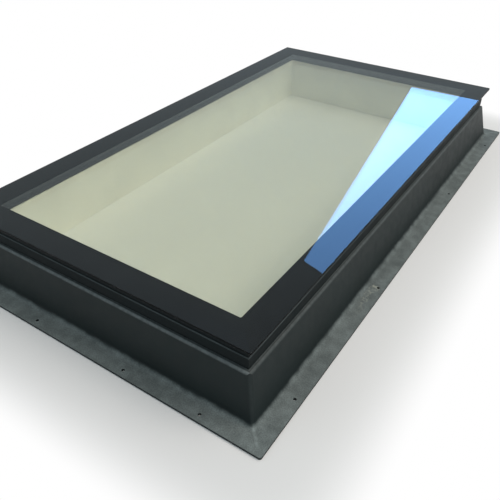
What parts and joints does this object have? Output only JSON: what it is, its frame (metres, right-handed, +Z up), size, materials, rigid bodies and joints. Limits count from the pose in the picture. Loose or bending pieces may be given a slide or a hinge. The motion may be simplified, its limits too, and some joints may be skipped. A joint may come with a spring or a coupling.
{
  "type": "roof skylight",
  "caption": "Fixed flat roof skylight: clear double glazing with a wide dark border, in a slim rail frame on a dark grey flanged kerb.",
  "frame": {"origin": "middle of the base, at the underside of the flange", "axes": "+X along the short side, +Y along the long side, +Z up"},
  "size_m": [0.825, 1.425, 0.155],
  "materials": {
    "kerb_grey": "matt moulded glass fibre, dark grey",
    "lining_cream": "satin cream white",
    "core_foam": "cut rigid foam",
    "batten_wood": "plain sawn plywood",
    "foam_seal": "matt black foam",
    "rail_grey": "matt powder coat, dark grey",
    "cleat_metal": "mill finish",
    "screw_steel": "zinc plated",
    "packer_green": "moulded",
    "inner_glass": "clear float glass",
    "outer_glass": "clear toughened float glass",
    "butyl_black": "soft black",
    "spacer_dark": "dark anodised",
    "key_grey": "moulded",
    "grain_cream": "packed grains",
    "sealant_black": "smooth silicone"
  },
  "bodies": {
    "root": {"kerb": "kerb_grey", "lining": "lining_cream", "core_front": "core_foam", "core_right": "core_foam", "core_back": "core_foam", "core_left": "core_foam", "batten_front": "batten_wood", "batten_right": "batten_wood", "batten_back": "batten_wood", "batten_left": "batten_wood", "kerb_seal": "foam_seal", "rail_front": "rail_grey", "rail_right": "rail_grey", "rail_back": "rail_grey", "rail_left": "rail_grey", "corner_cleats": "cleat_metal", "frame_screws": "screw_steel", "glazing_tape": "foam_seal", "edge_packers": "packer_green", "inner_pane": "inner_glass", "lower_butyl": "butyl_black", "spacer_front": "spacer_dark", "spacer_right": "spacer_dark", "spacer_back": "spacer_dark", "spacer_left": "spacer_dark", "spacer_keys": "key_grey", "drying_grains": "grain_cream", "upper_butyl": "butyl_black", "edge_sealant": "sealant_black", "weather_seal": "sealant_black", "outer_pane": "outer_glass"}
  },
  "joints": []
}
